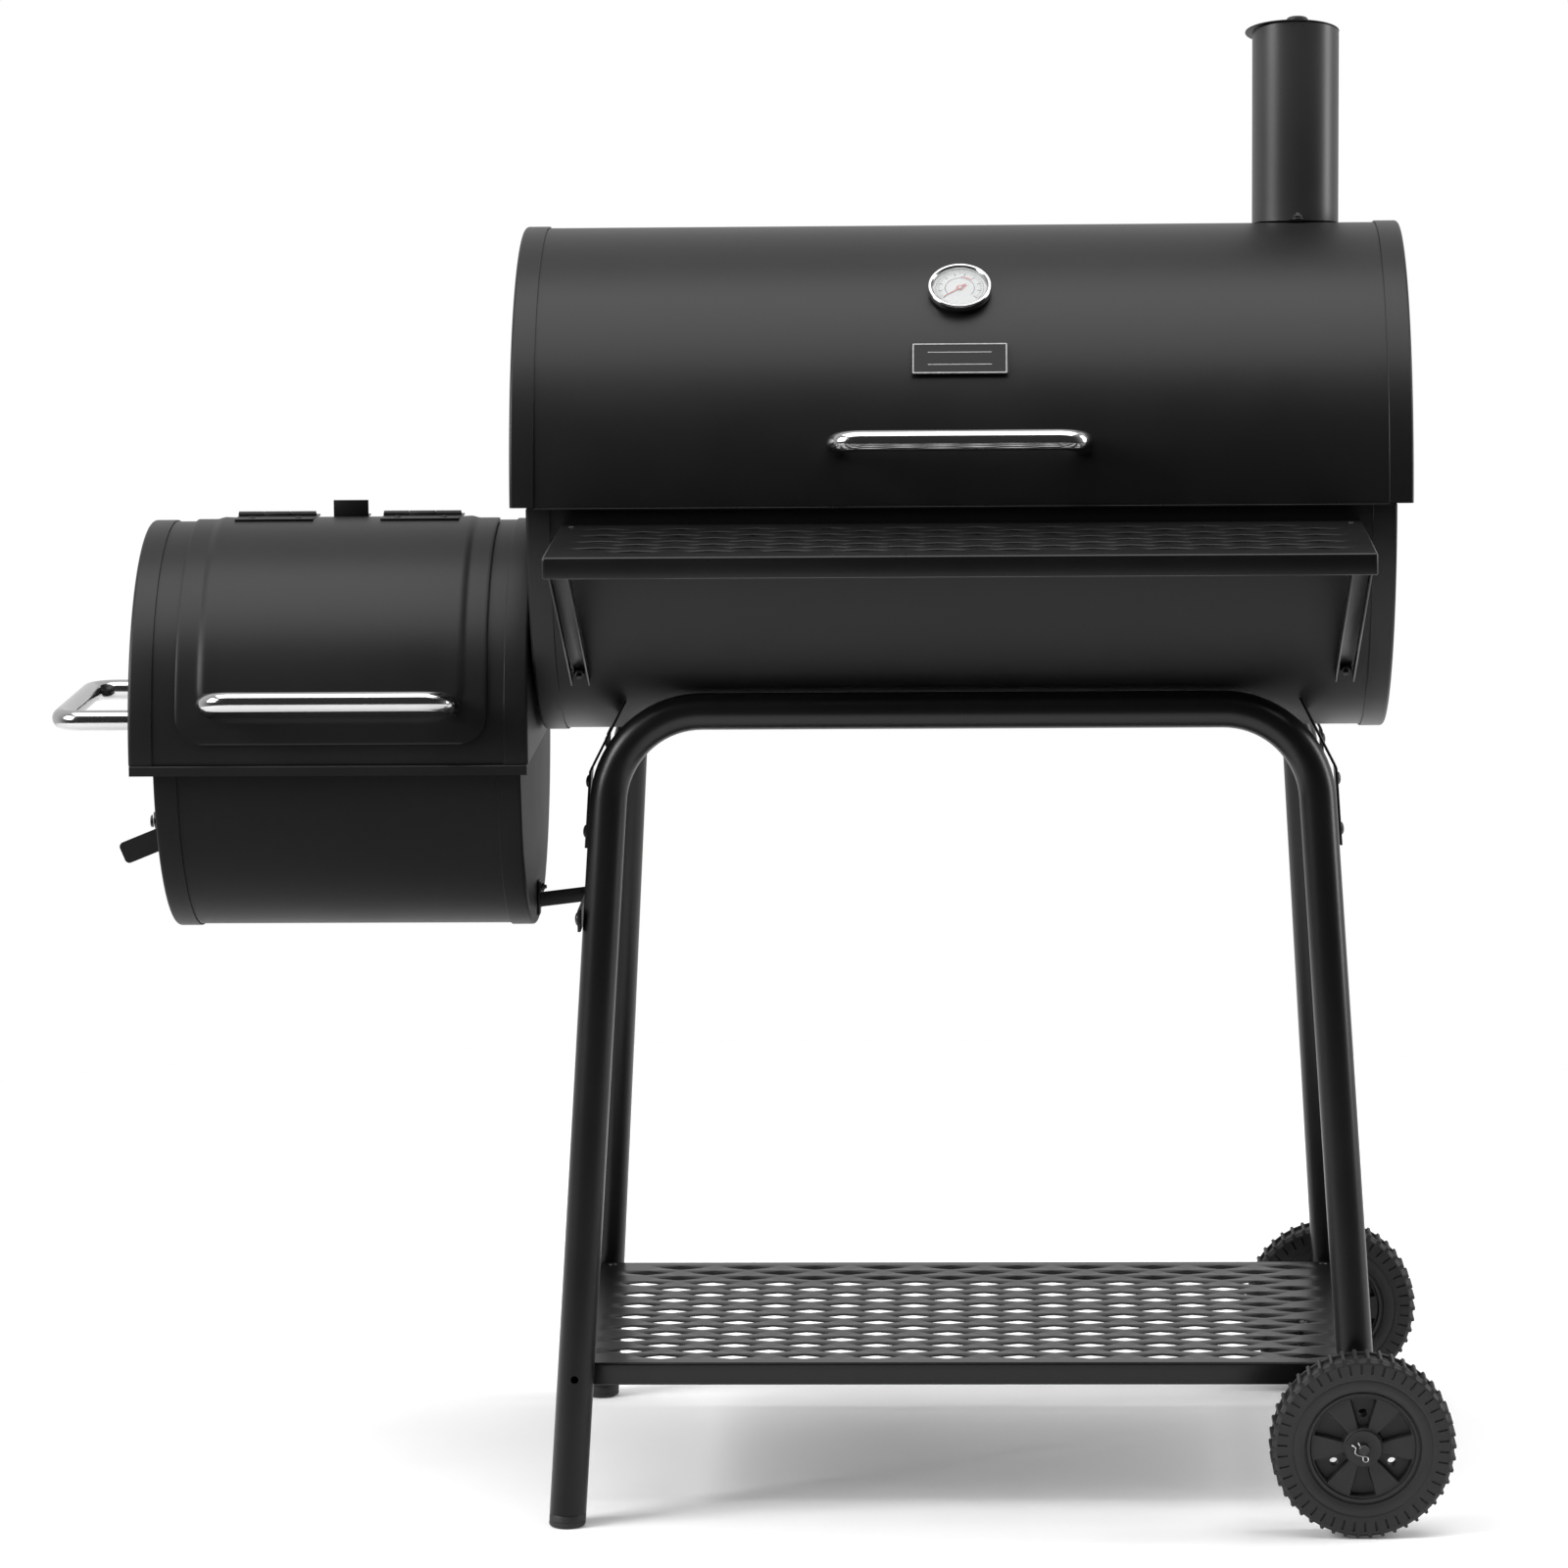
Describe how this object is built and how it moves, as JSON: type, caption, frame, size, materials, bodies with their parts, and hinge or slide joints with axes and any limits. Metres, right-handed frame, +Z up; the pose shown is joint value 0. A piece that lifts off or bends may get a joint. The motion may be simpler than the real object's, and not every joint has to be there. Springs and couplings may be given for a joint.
{
  "type": "offset smoker",
  "caption": "Barrel charcoal smoker on a wheeled tube stand, with a smaller side firebox, hinged lid and door, smoke stack, front shelf and perforated bottom shelf.",
  "frame": {"origin": "on the floor under the middle of the outer box", "axes": "+Z up, front with the shelf and handles towards -Y, firebox towards -X, wheels towards +X"},
  "size_m": [1.2982, 0.7692, 1.3737],
  "materials": {
    "black_enamel": "satin black heat-resistant paint",
    "frame_enamel": "satin black powder coat",
    "grate_iron": "dark seasoned iron wire",
    "chrome": "polished",
    "zinc_steel": "zinc plated",
    "dial_white": "printed white dial",
    "needle_red": "painted",
    "lens_glass": "clear",
    "black_plastic": "moulded",
    "plate_gloss": "gloss with a silver border"
  },
  "bodies": {
    "root": {"axle": "zinc_steel", "axle_clip_back": "chrome", "axle_clip_front": "chrome", "barrel_bracket_back_left": "black_enamel", "barrel_bracket_back_right": "black_enamel", "barrel_bracket_front_left": "black_enamel", "barrel_bracket_front_right": "black_enamel", "barrel_end_left": "black_enamel", "barrel_end_right": "black_enamel", "barrel_sheet": "black_enamel", "bottom_shelf": "frame_enamel", "charcoal_grate": "grate_iron", "cooking_grate_left": "grate_iron", "cooking_grate_right": "grate_iron", "damper_screw": "zinc_steel", "door_hinge_base_left": "black_enamel", "door_hinge_base_right": "black_enamel", "door_stop": "black_enamel", "fire_grate": "grate_iron", "firebox_end_left": "black_enamel", "firebox_end_right": "black_enamel", "firebox_hood": "black_enamel", "firebox_pan": "black_enamel", "firebox_stay": "black_enamel", "foot_cap_back_left": "black_plastic", "foot_cap_front_left": "black_plastic", "front_shelf": "frame_enamel", "hood_end_left": "black_enamel", "hood_end_right": "black_enamel", "lid_hinge_base_left": "black_enamel", "lid_hinge_base_right": "black_enamel", "port_collar": "black_enamel", "shelf_strut_left": "frame_enamel", "shelf_strut_right": "frame_enamel", "side_handle": "chrome", "stand_tie": "black_enamel", "stand_tube_back_left": "frame_enamel", "stand_tube_back_right": "frame_enamel", "stand_tube_front_left": "frame_enamel", "stand_tube_front_right": "frame_enamel"},
    "main_lid": {"lid_sheet": "black_enamel", "lid_end_left": "black_enamel", "lid_end_right": "black_enamel", "lid_hinge_leaf_left": "black_enamel", "lid_hinge_leaf_right": "black_enamel", "lid_handle": "chrome", "name_plate": "plate_gloss", "thermometer_case": "chrome", "thermometer_dial": "dial_white", "thermometer_lens": "lens_glass", "stack_pipe": "black_enamel"},
    "stack_cap": {"stack_cap": "black_enamel"},
    "needle": {"thermometer_needle": "needle_red"},
    "firebox_door": {"firebox_door": "black_enamel", "door_handle": "chrome", "door_hinge_leaf_left": "black_enamel", "door_hinge_leaf_right": "black_enamel"},
    "air_damper": {"air_damper": "black_enamel"},
    "wheel_front": {"wheel_front": "black_plastic"},
    "wheel_back": {"wheel_back": "black_plastic"}
  },
  "joints": [
    {"name": "lid_hinge", "type": "hinge", "parent": "root", "child": "main_lid", "pos_m": [0.20172, 0.33063, 0.943], "axis": [-1, 0, 0], "range_deg": [0, 85]},
    {"name": "stack_cap_pivot", "type": "hinge", "parent": "main_lid", "child": "stack_cap", "pos_m": [0.51572, 0.10419, 1.36606], "axis": [0, 0.2756, 0.9613], "range_deg": [-100, 100]},
    {"name": "needle_turn", "type": "hinge", "parent": "main_lid", "child": "needle", "pos_m": [0.20172, -0.07049, 1.13332], "axis": [0, 0.6293, -0.7771], "range_deg": [-10, 250], "stiffness_Nm_per_rad": 0.0005},
    {"name": "firebox_door_hinge", "type": "hinge", "parent": "root", "child": "firebox_door", "pos_m": [-0.37628, 0.09063, 0.9135], "axis": [-1, 0, 0], "range_deg": [0, 120]},
    {"name": "air_damper_pivot", "type": "hinge", "parent": "root", "child": "air_damper", "pos_m": [-0.54258, 0.08363, 0.622], "axis": [1, 0, 0], "range_deg": [-20, 40]},
    {"name": "wheel_front_spin", "type": "hinge", "parent": "root", "child": "wheel_front", "pos_m": [0.56438, -0.19037, 0.0847], "axis": [0, 1, 0], "continuous": true},
    {"name": "wheel_back_spin", "type": "hinge", "parent": "root", "child": "wheel_back", "pos_m": [0.56438, 0.35763, 0.0847], "axis": [0, 1, 0], "continuous": true}
  ]
}
